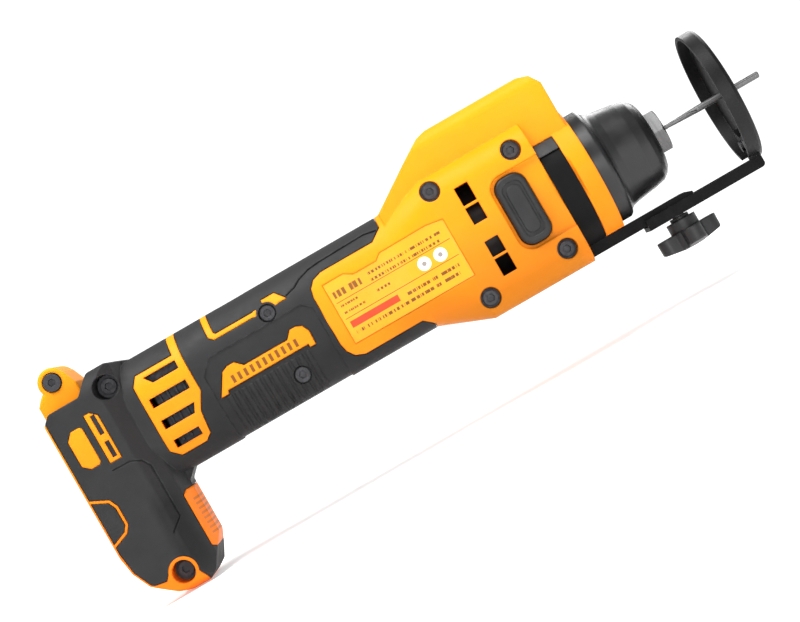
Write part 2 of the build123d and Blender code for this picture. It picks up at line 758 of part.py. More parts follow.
with BuildPart() as collet_nut:
    with BuildSketch(Plane.YZ.offset(-46.5)):
        RegularPolygon(NUT_AF / 2, 6, major_radius=False)
    extrude(amount=46.5 + NUT_FRONT)
    add(
        turned([
            (-47.0, 0.0), (-47.0, 10.4), (-45.6, 12.0), (-35.2, 12.0),
            (NUT_FRONT, 9.6), (NUT_FRONT, 0.0),
        ]),
        mode=Mode.INTERSECT,
    )
    add(rod(-47.0, 9.0, 6.01), mode=Mode.SUBTRACT)
    add(rod(-38.1, 1.9, 4.6), mode=Mode.SUBTRACT)
    add(
        turned([(-36.6, 0.0), (-36.6, 4.4), (-35.5, 3.65), (-33.0, 3.65), (-33.0, 0.0)]),
        mode=Mode.SUBTRACT,
    )
save(collet_nut, "collet_nut")

def flute():
    """The spiral groove's cutter, along the bit's rear half."""
    with BuildPart() as groove:
        with BuildLine(mode=Mode.PRIVATE) as path:
            Helix(pitch=FLUTE_PITCH, height=FLUTE_LENGTH, radius=BIT_R + 0.05,
                  center=(-31.0, 0, 0), direction=(1, 0, 0))
        with BuildSketch(Plane(origin=path.line @ 0, z_dir=path.line % 0),
                         mode=Mode.PRIVATE) as cutter:
            Circle(0.85)
        sweep(cutter.sketch, path=path.line, is_frenet=True)
    return groove.part


with BuildPart() as cut_out_bit:
    add(
        turned([
            (-52.0, 0.0), (-52.0, SHANK_R), (-35.2, SHANK_R), (-34.4, NECK_R),
            (-30.0, NECK_R), (-15.0, BIT_R), (BIT_TIP - 0.4, BIT_R), (BIT_TIP, BIT_R - 0.4),
            (BIT_TIP, 0.0),
        ])
    )
    for turn in (0, 180):
        add(flute().rotate(Axis.X, turn), mode=Mode.SUBTRACT)
save(cut_out_bit, "cut_out_bit")

# ---------------------------------------------------------------------------
# Spindle lock
# ---------------------------------------------------------------------------
with BuildPart() as lock_button:
    with BuildSketch(Plane.XZ.offset(24.9)):
        with Locations((LOCK_X, 0)):
            RectangleRounded(18.4, 36.2, 6.0)
    extrude(amount=1.4)
    with BuildSketch(Plane.XZ.offset(26.3)):
        with Locations((LOCK_X, 0)):
            RectangleRounded(14.9, 32.7, 5.8)
    extrude(amount=7.1)
    fillet(lock_button.faces().sort_by(Axis.Y)[0].edges(), 1.4)
    with BuildSketch(Plane.XZ.offset(32.6)):
        with Locations((LOCK_X, 0)):
            RectangleRounded(9.6, 26.4, 3.4)
            RectangleRounded(6.8, 22.8, 3.0, mode=Mode.SUBTRACT)
    extrude(amount=2, mode=Mode.SUBTRACT)
save(lock_button, "lock_button")

with BuildPart() as lock_pin:
    with BuildSketch(Plane.XZ.offset(11.6)):
        with Locations((LOCK_X, 0)):
            Circle(2.5)
    extrude(amount=24.88 - 11.6)
    chamfer(lock_pin.faces().sort_by(Axis.Y)[-1].edges(), 0.5)
save(lock_pin, "lock_pin")


def coil(x, radius, wire, height, turns, name, upright):
    """A small compression spring, along Z if upright, otherwise across the body."""
    with BuildPart() as spring:
        with BuildLine(mode=Mode.PRIVATE) as path:
            Helix(
                pitch=height / turns,
                height=height,
                radius=radius,
                center=(x, 0, 19.6) if upright else (x, -19.6, 0),
                direction=(0, 0, 1) if upright else (0, -1, 0),
            )
        section = Plane(origin=path.line @ 0, z_dir=path.line % 0)
        with BuildSketch(section, mode=Mode.PRIVATE) as round_wire:
            Circle(wire)
        sweep(round_wire.sketch, path=path.line, is_frenet=True)
    save(spring, name)


coil(LOCK_X, 4.0, 0.4, 4.7, 3, "lock_spring", False)

# ---------------------------------------------------------------------------
# Power button and switch
# ---------------------------------------------------------------------------
with BuildPart() as power_button:
    with BuildSketch(Plane.XY.offset(24.4)):
        with Locations((-243.0, 0)):
            RectangleRounded(19.0, 19.0, 3.0)
    extrude(amount=1.4)
    with BuildSketch(Plane.XY.offset(25.8)):
        with Locations((-243.0, 0)):
            RectangleRounded(15.8, 15.8, 2.8)
    extrude(amount=4.6)
    fillet(power_button.faces().sort_by(Axis.Z)[-1].edges(), 1.0)
    with BuildSketch(Plane.XY.offset(29.9)):
        with Locations((-243.0, 0)):
            Circle(4.6)
            Circle(3.6, mode=Mode.SUBTRACT)
    extrude(amount=1, mode=Mode.SUBTRACT)
    with BuildSketch(Plane.XY.offset(21.4)):
        with Locations((-243.0, 0)):
            Circle(2.0)
    extrude(amount=3.2)
save(power_button, "power_button")

coil(-243.0, 4.0, 0.4, 4.2, 3, "power_spring", True)

with BuildPart() as switch_module:
    with BuildSketch(Plane.XY.offset(3)):
        with Locations((-243.4, 0)):
            Rectangle(15.6, 20)
    extrude(amount=15.9)
    fillet(switch_module.edges().filter_by(Axis.Z), 1.0)
    with BuildSketch(Plane.XY.offset(15)):
        with Locations((-243.0, 0)):
            Circle(2.4)
    extrude(amount=5, mode=Mode.SUBTRACT)
save(switch_module, "switch_module")

# ---------------------------------------------------------------------------
# Electronics
# ---------------------------------------------------------------------------
with BuildPart() as controller_tray:
    with BuildSketch(Plane.XY.offset(-18)):
        with Locations((-275.5, 0)):
            RectangleRounded(40.0, 30.0, 2.0)
    extrude(amount=38)
    with BuildSketch(Plane.XY.offset(-16)):
        with Locations((-275.5, 0)):
            RectangleRounded(37.0, 27.0, 1.0)
    extrude(amount=36, mode=Mode.SUBTRACT)
    for y in (-16.0, 16.0):
        with BuildSketch(Plane.XY.offset(-14)):
            with Locations((-275.5, y)):
                with GridLocations(4.0, 1, 9, 1):
                    Rectangle(1.2, 2.2)
        extrude(amount=30)
save(controller_tray, "controller_tray")

with BuildPart() as controller_board:
    with BuildSketch(Plane.XY.offset(-4)):
        with Locations((-275.5, 0)):
            Rectangle(36.6, 26.6)
    extrude(amount=1.6)
    with BuildSketch(Plane.XY.offset(-2.5)):
        with Locations((-275.0, 0)):
            with GridLocations(9.0, 9.0, 3, 2):
                Rectangle(6.0, 5.0)
    extrude(amount=2.4)
    with BuildSketch(Plane.XY.offset(-2.5)):
        with Locations((-263.0, -6.0), (-263.0, 6.0)):
            Circle(3.1)
    extrude(amount=15.0)
save(controller_board, "controller_board")

with BuildPart() as terminal_block:
    with BuildSketch(Plane.YZ.offset(-334.0)):
        with Locations((0, 4)):
            Rectangle(28.0, 20.0)
    extrude(amount=13.0)
    fillet(terminal_block.edges().filter_by(Axis.X), 1.0)
    for y in (-10.0, -5.0, 0.0, 5.0, 10.0):
        with BuildSketch(Plane.YZ.offset(-335.0)):
            with Locations((y, 4.0)):
                Rectangle(0.84, 12.04)
        extrude(amount=9.0, mode=Mode.SUBTRACT)
save(terminal_block, "terminal_block")

with BuildPart() as terminal_blades:
    for y in (-10.0, -5.0, 0.0, 5.0, 10.0):
        with BuildSketch(Plane.YZ.offset(-338.4)):
            with Locations((y, 4.0)):
                Rectangle(0.8, 12.0)
        extrude(amount=12.3)
save(terminal_blades, "terminal_blades")


def lead(points, radius):
    """One insulated wire along a smooth path."""
    with BuildPart() as wire:
        with BuildLine(mode=Mode.PRIVATE) as path:
            Spline(*points)
        section = Plane(origin=path.line @ 0, z_dir=path.line % 0)
        with BuildSketch(section, mode=Mode.PRIVATE) as core:
            Circle(radius)
        sweep(core.sketch, path=path.line)
    return wire.part


MOTOR_LEADS = (
    (-6.0, (-7.7, 13.3)),
    (0.0, (3.4, 15.6)),
    (6.0, (9.5, 11.9)),
)                                          # y at the controller, (y, z) at the windings

with BuildPart() as motor_leads:
    for y, (end_y, end_z) in MOTOR_LEADS:
        add(
            lead(
                [
                    (-255.0, y, 3.0), (-252.0, y, 1.5), (-240.0, y * 1.2, -2.5),
                    (-229.0, y * 1.3, 4.0), (-220.0, y * 1.4, 12.0), (-212.5, y * 1.4, 15.6),
                    (-205.5, y * 1.4, 15.8), (-200.2, end_y, end_z),
                ],
                1.1,
            )
        )
save(motor_leads, "motor_leads")

with BuildPart() as supply_leads:
    for y in (-7.5, 7.5):
        add(
            lead(
                [
                    (-320.8, y, 3.0), (-314.0, y, 2.6), (-306.0, y * 0.9, 4.0),
                    (-300.0, y * 0.8, 5.5), (-295.7, y * 0.8, 6.0),
                ],
                1.3,
            )
        )
save(supply_leads, "supply_leads")

with BuildPart() as lamp_lens:
    with BuildSketch(Plane.YZ.offset(-77.0)):
        with Locations((0, 42.5)):
            Circle(3.95)
    extrude(amount=3.6)
    fillet(lamp_lens.faces().sort_by(Axis.X)[-1].edges(), 1.2)
save(lamp_lens, "lamp_lens")

with BuildPart() as lamp_board:
    with BuildSketch(Plane.YZ.offset(-79.8)):
        with Locations((0, 42.5)):
            Rectangle(12.0, 10.0)
    extrude(amount=1.4)
    with BuildSketch(Plane.YZ.offset(-78.4)):
        with Locations((0, 42.5)):
            Rectangle(3.0, 3.0)
    extrude(amount=1.2)
save(lamp_board, "lamp_board")

# ---------------------------------------------------------------------------
# Depth guide
# ---------------------------------------------------------------------------
YOKE_REAR = -91.3
YOKE_FRONT = -81.0

with BuildPart() as guide_base:
    with BuildSketch(Plane.YZ.offset(YOKE_REAR)):
        Circle(30.9)
        Circle(28.75, mode=Mode.SUBTRACT)
        with Locations((0, 15.6 + 40)):
            Rectangle(90, 80, mode=Mode.SUBTRACT)
    extrude(amount=YOKE_FRONT - YOKE_REAR)
    # arm: a channel open downwards
    with BuildSketch(Plane.YZ.offset(YOKE_REAR)):
        with Locations((0, -32.25)):
            Rectangle(18.0, 5.3)
        with Locations((0, -33.7)):
            Rectangle(14.4, 4.2, mode=Mode.SUBTRACT)
    extrude(amount=-36.9 - YOKE_REAR)
    with BuildSketch(Plane.XZ):
        with BuildLine():
            Polyline((-42.5, -29.0), (-36.0, -31.2), (-36.0, -29.0), close=True)
        make_face()
    extrude(amount=12, both=True, mode=Mode.SUBTRACT)
    with BuildSketch(Plane.XY.offset(-32)):
        with Locations((KNOB_X, 0)):
            Circle(3.2)
    extrude(amount=4, mode=Mode.SUBTRACT)
save(guide_base, "guide_base")

with BuildPart() as guide_clips:
    with BuildSketch(Plane.YZ.offset(YOKE_REAR)):
        Circle(31.6)
        Circle(28.75, mode=Mode.SUBTRACT)
        with Locations((0, 15.7 - 40)):
            Rectangle(90, 80, mode=Mode.SUBTRACT)
        with Locations((0, 21.6 + 40)):
            Rectangle(90, 80, mode=Mode.SUBTRACT)
    extrude(amount=YOKE_FRONT - YOKE_REAR)
save(guide_clips, "guide_clips")

with BuildPart() as clamp_nut:
    with BuildSketch(Plane.XY.offset(-34.8)):
        with Locations((KNOB_X, 0)):
            Rectangle(12.0, 14.2)
            Circle(2.98, mode=Mode.SUBTRACT)
    extrude(amount=3.2)
save(clamp_nut, "clamp_nut")

with BuildPart() as clamp_screw:
    with BuildSketch(Plane.XY.offset(-50.0)):
        with Locations((KNOB_X, 0)):
            Circle(2.92)
    extrude(amount=20.2)
    chamfer(clamp_screw.faces().sort_by(Axis.Z)[-1].edges(), 0.5)
save(clamp_screw, "clamp_screw")

with BuildPart() as clamp_knob:
    with BuildSketch(Plane.XY.offset(-53.2)):
        with Locations((KNOB_X, 0)):
            Circle(8.2)
            with PolarLocations(8.4, 4, start_angle=8):
                SlotOverall(13.6, 9.0)
    extrude(amount=8.7)
    with BuildSketch(Plane.XZ):
        with BuildLine():
            Polyline(
                (KNOB_X, -38.0), (KNOB_X + 4.6, -38.0), (KNOB_X + 4.6, -39.6),
                (KNOB_X + 7.2, -39.6), (KNOB_X + 7.2, -44.0), (KNOB_X + 14.6, -44.5),
                (KNOB_X + 15.4, -45.3), (KNOB_X + 15.4, -50.4), (KNOB_X + 14.2, -51.5),
                (KNOB_X + 5.0, -53.1), (KNOB_X, -53.2), close=True,
            )
        make_face()
    revolve(axis=Axis((KNOB_X, 0, 0), (0, 0, 1)), mode=Mode.INTERSECT)
    with BuildSketch(Plane.XY.offset(-44.6)):
        with Locations((KNOB_X, 0)):
            Circle(7.2)
    extrude(amount=5.0)
    with BuildSketch(Plane.XY.offset(-39.7)):
        with Locations((KNOB_X, 0)):
            Circle(4.6)
    extrude(amount=1.7)
    with BuildSketch(Plane.XY.offset(-50.2)):
        with Locations((KNOB_X, 0)):
            Circle(2.94)
    extrude(amount=14, mode=Mode.SUBTRACT)
save(clamp_knob, "clamp_knob")

with BuildPart() as guide_arm:
    # channel open upwards, round the fixed arm
    with BuildSketch(Plane.YZ.offset(-62.5)):
        with Locations((0, -34.85)):
            Rectangle(22.6, 5.3)
        with Locations((0, -33.7)):
            Rectangle(18.8, 3.6, mode=Mode.SUBTRACT)
    extrude(amount=62.5 - 4.6)
    # the end turned up behind the disc
    with BuildSketch(Plane.YZ.offset(-4.7)):
        with Locations((0, -27.2)):
            Rectangle(22.6, 20.6)
        with Locations((0, -7.0)):
            Circle(14.0, mode=Mode.SUBTRACT)
    extrude(amount=2.4)
    fillet(guide_arm.edges().filter_by(Axis.Y).sort_by(Axis.Z)[:4].sort_by(Axis.X)[-1], 1.8)
    with BuildSketch(Plane.XY.offset(-40)):
        with Locations((-38.0, 0)):
            SlotOverall(36.0, ARM_SLOT)
    extrude(amount=8, mode=Mode.SUBTRACT)
save(guide_arm, "guide_arm")

with BuildPart() as guide_disc:
    add(
        turned([
            (-GUIDE_DEPTH, GUIDE_R), (-GUIDE_DEPTH, GUIDE_R - 1.8), (-2.2, GUIDE_R - 1.8),
            (-2.2, GUIDE_HOLE), (0.0, GUIDE_HOLE), (0.0, GUIDE_R - 1.8),
            (-0.5, GUIDE_R - 0.6), (-1.8, GUIDE_R),
        ])
    )
    with BuildSketch(Plane.YZ.offset(-10)):
        with Locations((0, -32)):
            Rectangle(23.4, 12)
    extrude(amount=7.75, mode=Mode.SUBTRACT)
save(guide_disc, "guide_disc")

with BuildPart() as guide_rivets:
    for y in (-6.5, 6.5):
        with BuildSketch(Plane.YZ.offset(-5.9)):
            with Locations((y, -25.0)):
                Circle(2.6)
        extrude(amount=1.2)
save(guide_rivets, "guide_rivets")
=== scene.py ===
import json
import math

import bpy
from mathutils import Matrix, Vector


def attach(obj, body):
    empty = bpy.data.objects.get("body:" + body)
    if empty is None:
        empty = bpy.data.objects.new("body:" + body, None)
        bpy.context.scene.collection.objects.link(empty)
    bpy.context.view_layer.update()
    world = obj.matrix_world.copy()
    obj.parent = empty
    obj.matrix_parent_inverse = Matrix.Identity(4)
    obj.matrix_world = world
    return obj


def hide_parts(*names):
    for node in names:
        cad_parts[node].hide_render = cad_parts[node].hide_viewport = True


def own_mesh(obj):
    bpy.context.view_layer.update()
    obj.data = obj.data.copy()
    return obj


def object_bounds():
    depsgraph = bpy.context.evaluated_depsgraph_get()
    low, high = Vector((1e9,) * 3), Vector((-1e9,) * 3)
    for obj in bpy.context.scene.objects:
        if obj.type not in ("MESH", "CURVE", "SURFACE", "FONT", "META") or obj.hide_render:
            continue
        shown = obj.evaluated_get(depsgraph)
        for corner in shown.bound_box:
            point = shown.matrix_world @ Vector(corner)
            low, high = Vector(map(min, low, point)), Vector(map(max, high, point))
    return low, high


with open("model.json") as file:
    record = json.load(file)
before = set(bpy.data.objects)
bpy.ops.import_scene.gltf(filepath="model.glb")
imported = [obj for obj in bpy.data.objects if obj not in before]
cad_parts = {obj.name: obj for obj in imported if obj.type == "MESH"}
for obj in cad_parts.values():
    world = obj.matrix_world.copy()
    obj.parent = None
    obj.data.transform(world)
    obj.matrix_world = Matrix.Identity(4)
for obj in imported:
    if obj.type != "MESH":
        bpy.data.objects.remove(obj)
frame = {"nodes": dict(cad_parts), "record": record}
nodes = frame["nodes"]
cad_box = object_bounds()

MM = 0.001

# colours, linear RGB
YELLOW = (0.90, 0.300, 0.003)
# edge colour of the yellow: rubbed wear and a painted highlight along the edges
YELLOW_WORN_AND_SHEEN = (0.95, 0.43, 0.02)
# painted shade: the yellow towards the underside, with a slow random change of tone
UNDERSIDE_SHADE_YELLOW = ((0.74, 0.148, 0.002), (0.78, 0.166, 0.003))
SHADED_YELLOW = (0.33, 0.115, 0.002)
FRONT_BAR = (0.22, 0.10, 0.03)
BADGE_BAR = (0.05, 0.03, 0.012)
FILM = ((0.80, 0.285, 0.014), (0.84, 0.315, 0.016))
FILM_WORN = (0.95, 0.72, 0.25)
INK = (0.085, 0.036, 0.012)
RED_STRIP = (0.62, 0.045, 0.012)
DISC_WHITE = (0.86, 0.84, 0.80)
DISC_GREY = (0.25, 0.22, 0.20)
GRIP = (0.0165, 0.0165, 0.0175)
GRIP_WORN = (0.050, 0.050, 0.052)
GRIP_DUST = (0.040, 0.039, 0.037)
# painted shade on the handle's underside
GRIP_UNDERSIDE_SHADE = (0.0030, 0.0030, 0.0033)
# painted shade in the foot's hollow
GRIP_HOLLOW_SHADE = (0.0040, 0.0040, 0.0043)
BLACK = (0.0085, 0.0085, 0.0090)
BLACK_WORN = (0.035, 0.035, 0.037)
STEEL = (0.145, 0.145, 0.147)
WHITE = (1.0, 1.0, 1.0)
PAPER = ((0.90, 0.90, 0.90), (0.93, 0.93, 0.93))

# places on the tool, in millimetres of the row frame
UNDERSIDE_SHADE_FROM, UNDERSIDE_SHADE_TO = 46.0, -48.0              # heights between which painted shade darkens the yellow towards the underside
HEAD_SPAN = (-185.0, -88.0)
HEAD_SHADE_FROM, HEAD_SHADE_TO = 8.0, -42.0
# the handle, darkened with painted shade towards its underside
HAND_SPAN = (-292.0, -170.0)
HANDLE_SHADE_FROM, HANDLE_SHADE_TO = 12.0, -26.0
# the foot's hollow, which gets painted shade
HOLLOW_SPAN = (-317.5, -306.0)
HOLLOW_HEIGHTS = (-66.0, -30.0)
GRIP_SCREW_SHADE_RINGS = [(-309.2, 24.2, 6.5), (-230.5, 16.8, 5.0), (-230.5, -14.9, 5.0)]    # rings of painted shade round the grip screws: x, z, radius
FRONT_BARS, FRONT_BAR_TOP, FRONT_BAR_PITCH = 8, -38.8, 2.45
FRONT_BAR_SPAN = (-301.2, -298.0)
BADGE_BARS, BADGE_BAR_FIRST, BADGE_BAR_PITCH = 11, -258.0, 3.2
BADGE_HEIGHTS = (-3.0, 0.7)
RULE_SPAN = (-201.5, -143.5)
RULE_HEIGHTS = (4.9, -3.2)
LABEL_ROWS = [                                # x from, x to, middle, row height
    (-183.0, -146.0, 9.6, 1.3), (-183.0, -148.0, 6.4, 1.3),
    (-172.0, -145.0, -7.2, 1.5), (-200.0, -147.0, -10.6, 1.5),
    (-200.5, -192.0, 2.8, 1.0), (-200.5, -190.0, -0.6, 1.0), (-183.0, -176.0, 1.0, 1.2),
]
LABEL_BLOCK = ((-201.0, -187.0), (6.9, 10.1))
LABEL_STRIP = ((-200.5, -176.0), (-8.2, -5.0))
LABEL_DISCS, DISC_HEIGHT = (-158.8, -150.6), 0.8

# studio, in metres
AIM = Vector((-0.1787, 0.0, -0.0120))
CAMERA_DISTANCE = 1.150
WIDTH_IN_VIEW = 0.3648                        # width of the picture at the tool
CLIMB = math.radians(30.0)                    # of the spindle in the picture
SENSOR_WIDTH = 36.0
LIGHT_CENTRE = Vector((-0.165, 0.0, -0.01))
SOFTBOXES = [                                 # name, place, size, watts
    ("key_top", (-0.35, -0.35, 0.95), (0.9, 0.6), 21.0),
    ("fill_front", (-0.10, -1.30, 0.05), (0.9, 0.5), 9.0),
    ("rim_back", (0.35, 0.80, 0.55), (0.6, 0.5), 6.0),
]
WORLD_ON_TOOL, WORLD_IN_VIEW = 0.45, 1.25
FLOOR_HALF = 0.9
FLOOR_STEPS = 12
FLOOR_GAP = 0.5 * MM
FLOOR_GLOW = 0.30

# ---------------------------------------------------------------------------
# Node helpers. Every pattern uses object coordinates, which are row metres.
# ---------------------------------------------------------------------------


def scaled(colour, share):
    return tuple(c * share for c in colour)


class Surface:
    """One procedural material, built up node by node."""

    def __init__(self, name, roughness, metallic=0.0, specular=0.5):
        self.material = bpy.data.materials.new(name)
        self.material.use_nodes = True
        self.tree = self.material.node_tree
        self.tree.nodes.clear()
        out = self.new("ShaderNodeOutputMaterial")
        self.bsdf = self.new("ShaderNodeBsdfPrincipled")
        self.join(self.bsdf.outputs["BSDF"], out.inputs["Surface"])
        self.bsdf.inputs["Roughness"].default_value = roughness
        self.bsdf.inputs["Metallic"].default_value = metallic
        self.bsdf.inputs["Specular IOR Level"].default_value = specular
        self.place = self.new("ShaderNodeTexCoord").outputs["Object"]
        self.normal = None

    def new(self, kind, **settings):
        node = self.tree.nodes.new(kind)
        for key, value in settings.items():
            setattr(node, key, value)
        return node

    def join(self, source, target):
        self.tree.links.new(source, target)

    def noise(self, scale, detail=3.0, stretch=(1, 1, 1)):
        """A noise value from 0 to 1; scale is features per metre."""
        mapping = self.new("ShaderNodeMapping")
        mapping.inputs["Scale"].default_value = stretch
        self.join(self.place, mapping.inputs["Vector"])
        noise = self.new("ShaderNodeTexNoise")
        noise.inputs["Scale"].default_value = scale
        noise.inputs["Detail"].default_value = detail
        self.join(mapping.outputs["Vector"], noise.inputs["Vector"])
        return noise.outputs["Fac"]

    def ramp(self, value, low, high, start=0.0, end=1.0):
        """The value taken linearly from low..high to start..end, clamped."""
        node = self.new("ShaderNodeMapRange")
        node.inputs["From Min"].default_value = low
        node.inputs["From Max"].default_value = high
        node.inputs["To Min"].default_value = start
        node.inputs["To Max"].default_value = end
        self.join(value, node.inputs["Value"])
        return node.outputs["Result"]

    def drift(self, scale, detail=3.0, start=0.0, end=1.0):
        """Noise spread over its useful middle, for slow changes of tone or gloss."""
        return self.ramp(self.noise(scale, detail), 0.3, 0.7, start, end)

    def times(self, value, other):
        """The product of a value and another value or a plain number."""
        node = self.new("ShaderNodeMath", operation="MULTIPLY")
        self.join(value, node.inputs[0])
        if isinstance(other, float):
            node.inputs[1].default_value = other
        else:
            self.join(other, node.inputs[1])
        return node.outputs["Value"]

    def mix(self, factor, a, b):
        """Colour a where the factor is 0, colour b where it is 1."""
        node = self.new("ShaderNodeMix", data_type="RGBA")
        self.join(factor, node.inputs["Factor"])
        for socket, value in ((node.inputs[6], a), (node.inputs[7], b)):
            if isinstance(value, tuple):
                socket.default_value = (*value, 1.0)
            else:
                self.join(value, socket)
        return node.outputs[2]

    def colour(self, value):
        self.join(value, self.bsdf.inputs["Base Color"])

    def rough(self, value):
        self.join(value, self.bsdf.inputs["Roughness"])

    def rounded(self, radius):
        """Softens the look of edges, and gives an edge mask for wear."""
        bevel = self.new("ShaderNodeBevel", samples=6)
        bevel.inputs["Radius"].default_value = radius
        self.normal = bevel.outputs["Normal"]
        flat = self.new("ShaderNodeNewGeometry").outputs["Normal"]
        dot = self.new("ShaderNodeVectorMath", operation="DOT_PRODUCT")
        self.join(self.normal, dot.inputs[0])
        self.join(flat, dot.inputs[1])
        return self.ramp(dot.outputs["Value"], 0.995, 0.90)

    def bump(self, relief, strength, distance):
        node = self.new("ShaderNodeBump")
        node.inputs["Strength"].default_value = strength
        node.inputs["Distance"].default_value = distance
        self.join(relief, node.inputs["Height"])
        if self.normal is not None:
            self.join(self.normal, node.inputs["Normal"])
        self.normal = node.outputs["Normal"]
        self.join(self.normal, self.bsdf.inputs["Normal"])

    # the places below are in millimetres, and an axis is 0, 1 or 2 of the row frame

    def along(self, axis):
        split = self.new("ShaderNodeSeparateXYZ")
        self.join(self.place, split.inputs["Vector"])
        return split.outputs[axis]

    def window(self, axis, span, soft=0.05):
        """1 inside the span along the axis, 0 outside."""
        low, high = span
        value = self.along(axis)
        rise = self.ramp(value, (low - soft) * MM, (low + soft) * MM)
        fall = self.ramp(value, (high - soft) * MM, (high + soft) * MM, 1.0, 0.0)
        return self.times(rise, fall)

    def height(self, start, end):
        """0 at the start height and 1 at the end height."""
        return self.ramp(self.along(2), start * MM, end * MM)

    def patch(self, x_span, z_span):
        """A printed rectangle in side view."""
        return self.times(self.window(0, x_span), self.window(2, z_span))

    def spot(self, x, z, radius, soft=0.06):
        """A disc in side view, for printed discs and for rings of painted shade."""
        shift = self.new("ShaderNodeVectorMath", operation="SUBTRACT")
        self.join(self.place, shift.inputs[0])
        shift.inputs[1].default_value = (x * MM, 0, z * MM)
        flat = self.new("ShaderNodeVectorMath", operation="MULTIPLY")
        self.join(shift.outputs[0], flat.inputs[0])
        flat.inputs[1].default_value = (1, 0, 1)
        size = self.new("ShaderNodeVectorMath", operation="LENGTH")
        self.join(flat.outputs[0], size.inputs[0])
        return self.ramp(size.outputs["Value"], (radius + soft) * MM, (radius - soft) * MM)

    def bands(self, scale, direction, distortion=0.0):
        """Regular bands, for windings and stacked sheets."""
        wave = self.new("ShaderNodeTexWave", wave_type="BANDS", bands_direction=direction)
        wave.inputs["Scale"].default_value = scale
        wave.inputs["Distortion"].default_value = distortion
        self.join(self.place, wave.inputs["Vector"])
        return wave.outputs["Fac"]


# ---------------------------------------------------------------------------
# Materials
# ---------------------------------------------------------------------------


def plastic(
    name, base, worn_and_sheen, roughness, grain=0.12, edge=0.8, radius=0.6 * MM, dust=None, gloss=0.25,
    marks=None,
):
    """Moulded plastic or soft grip: fine grain, slow tone changes, rubbed edges; on the yellow
    housing the lighter edge colour is also a painted highlight.
    """
    s = Surface(name, roughness, specular=gloss)
    edges = s.rounded(radius)
    body = s.mix(s.drift(28.0, 4.0), scaled(base, 0.90), base)
    speck = s.ramp(s.noise(900.0, 2.0), 0.35, 0.75, 0.0, 0.35)
    body = s.mix(speck, body, scaled(base, 0.93))
    breakup = s.ramp(s.noise(260.0, 3.0), 0.42, 0.62)
    # edge colour: rubbed wear, and on the yellow housing also a painted highlight
    body = s.mix(s.times(s.times(edges, breakup), edge), body, worn_and_sheen)
    if dust:
        lodged = s.ramp(s.noise(70.0, 6.0), 0.52, 0.78, 0.0, 0.16)
        body = s.mix(lodged, body, dust)
    if marks:
        body = marks(s, body)
    s.colour(body)
    s.rough(s.drift(120.0, 5.0, roughness - 0.06, roughness + 0.08))
    s.bump(s.noise(2600.0, 2.0), grain, 0.15 * MM)
    return s.material


def metal(name, base, roughness, streak=(1, 1, 1)):
    """Machined or plated metal with fine turning marks and small scratches."""
    s = Surface(name, roughness, metallic=1.0)
    edges = s.rounded(0.25 * MM)
    body = s.mix(s.drift(45.0, 5.0), scaled(base, 0.84), base)
    marks = s.noise(700.0, 3.0, streak)
    body = s.mix(s.ramp(marks, 0.5, 0.8, 0.0, 0.3), body, scaled(base, 0.7))
    s.colour(s.mix(edges, body, scaled(base, 1.3)))
    s.rough(s.ramp(marks, 0.25, 0.75, roughness - 0.05, roughness + 0.10))
    s.bump(marks, 0.12, 0.05 * MM)
    return s.material


def painted(name, base, chip, roughness, gloss=0.22):
    """Powder-coated steel: faint orange peel and bright chips on the edges."""
    s = Surface(name, roughness, specular=gloss)
    edges = s.rounded(0.35 * MM)
    body = s.mix(s.drift(60.0, 4.0), scaled(base, 0.8), base)
    breakup = s.ramp(s.noise(420.0, 3.0), 0.50, 0.62)
    s.colour(s.mix(s.times(s.times(edges, breakup), 0.45), body, chip))
    s.rough(s.drift(150.0, 4.0, roughness - 0.05, roughness + 0.1))
    s.bump(s.noise(1500.0, 2.0), 0.10, 0.1 * MM)
    return s.material


def housing_shade_and_marks(s, body):
    """Painted shade towards the underside and on the head's lower side, painted shade rings
    round the grip screws, bars in place of the marks.
    """
    # painted shade, deepening with height towards the underside
    shaded_underside = s.mix(s.drift(35.0, 4.0), *UNDERSIDE_SHADE_YELLOW)
    body = s.mix(s.height(UNDERSIDE_SHADE_FROM, UNDERSIDE_SHADE_TO), body, shaded_underside)
    # painted shade on the lower side of the head
    head = s.window(0, HEAD_SPAN, 9.0)
    shade = s.times(head, s.height(HEAD_SHADE_FROM, HEAD_SHADE_TO))
    body = s.mix(shade, body, SHADED_YELLOW)
    for step in range(FRONT_BARS):
        z = FRONT_BAR_TOP - FRONT_BAR_PITCH * step
        bar = s.patch(FRONT_BAR_SPAN, (z - 0.55, z + 0.55))
        body = s.mix(s.times(bar, 0.6), body, FRONT_BAR)
    # painted shade: the yellow in the gaps round the grip screws takes the grip's dark colour
    for x, z, radius in GRIP_SCREW_SHADE_RINGS:
        body = s.mix(s.spot(x, z, radius), body, GRIP)
    for step in range(BADGE_BARS):
        x = BADGE_BAR_FIRST + BADGE_BAR_PITCH * step
        bar = s.patch((x - 0.75, x + 0.75), BADGE_HEIGHTS)
        body = s.mix(s.times(bar, 0.85), body, BADGE_BAR)
    return body


def grip_painted_shade(s, body):
    """Painted shade on the underside of the handle along the ribs, and painted shade in the
    foot's hollow.
    """
    # painted shade towards the underside of the handle
    hand = s.window(0, HAND_SPAN, 12.0)
    under = s.times(hand, s.height(HANDLE_SHADE_FROM, HANDLE_SHADE_TO))
    body = s.mix(s.times(under, 0.72), body, GRIP_UNDERSIDE_SHADE)
    # painted shade in the foot's hollow
    hollow = s.times(s.window(0, HOLLOW_SPAN, 2.2), s.window(2, HOLLOW_HEIGHTS, 5.0))
    return s.mix(s.times(hollow, 0.7), body, GRIP_HOLLOW_SHADE)


